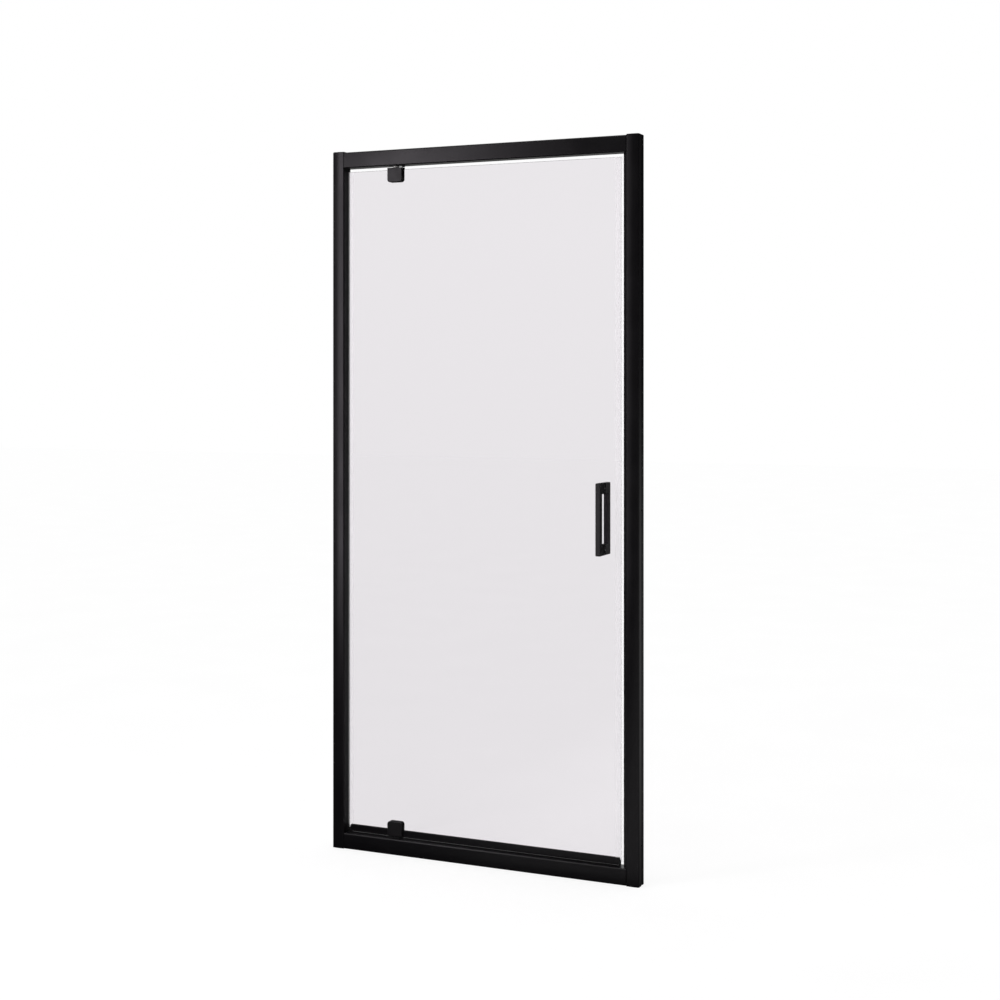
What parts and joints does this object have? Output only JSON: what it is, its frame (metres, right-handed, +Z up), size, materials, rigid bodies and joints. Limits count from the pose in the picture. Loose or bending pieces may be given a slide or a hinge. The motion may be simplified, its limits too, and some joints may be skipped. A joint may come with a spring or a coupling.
{
  "type": "pivot shower door",
  "caption": "Framed pivot shower door in satin black: posts, rails and one clear glass leaf that swings on pivots near its hinge side, with loop handles.",
  "frame": {"origin": "on the floor under the middle of the frame's width and of the glass's thickness", "axes": "+X along the frame from the pivot side to the lock side, +Y from the room into the shower, +Z up"},
  "size_m": [0.885, 0.079, 1.899],
  "materials": {
    "frame_black": "satin",
    "hardware_black": "satin",
    "black_plastic": "matte",
    "stainless_steel": "satin",
    "white_nylon": "matte",
    "clear_vinyl": "gloss",
    "white_magnet": "satin",
    "black_rubber": "matte",
    "clear_glass": "gloss"
  },
  "bodies": {
    "frame": {"wall_channel_left": "frame_black", "wall_channel_right": "frame_black", "post_left": "frame_black", "post_right": "frame_black", "top_rail": "frame_black", "bottom_rail": "frame_black", "post_cap_left": "black_plastic", "post_cap_right": "black_plastic", "fixing_screws_left": "stainless_steel", "fixing_screws_right": "stainless_steel", "corner_screws_top": "stainless_steel", "corner_screws_bottom": "stainless_steel", "pivot_seat_bottom": "black_plastic", "pivot_seat_screw": "hardware_black", "pivot_block_top": "hardware_black", "pivot_pin_bottom": "stainless_steel", "pivot_pin_top": "stainless_steel", "lift_stop_top": "black_plastic", "strike_profile": "frame_black", "strike_magnet": "white_magnet"},
    "leaf": {"glass_panel": "clear_glass", "clamp_front_bottom": "hardware_black", "clamp_front_top": "hardware_black", "clamp_back_bottom": "hardware_black", "clamp_back_top": "hardware_black", "clamp_gaskets_bottom": "black_rubber", "clamp_gaskets_top": "black_rubber", "clamp_screws_bottom": "hardware_black", "clamp_screws_top": "hardware_black", "pivot_bush_bottom": "black_plastic", "pivot_bush_top": "white_nylon", "drip_rail_long": "frame_black", "drip_rail_short": "frame_black", "wiper_seal_long": "black_rubber", "wiper_seal_short": "black_rubber", "drip_rail_end_long": "black_plastic", "drip_rail_end_short": "black_plastic", "hinge_side_seal": "clear_vinyl", "lock_side_seal": "clear_vinyl", "leaf_magnet": "white_magnet", "handle_front": "hardware_black", "handle_back": "hardware_black", "handle_studs": "hardware_black", "handle_pads": "clear_vinyl", "handle_grub_screws": "stainless_steel"}
  },
  "joints": [
    {"name": "leaf_pivot", "type": "hinge", "parent": "frame", "child": "leaf", "pos_m": [-0.2605, 0, 0.95], "axis": [0, 0, -1], "range_deg": [0, 95]}
  ]
}
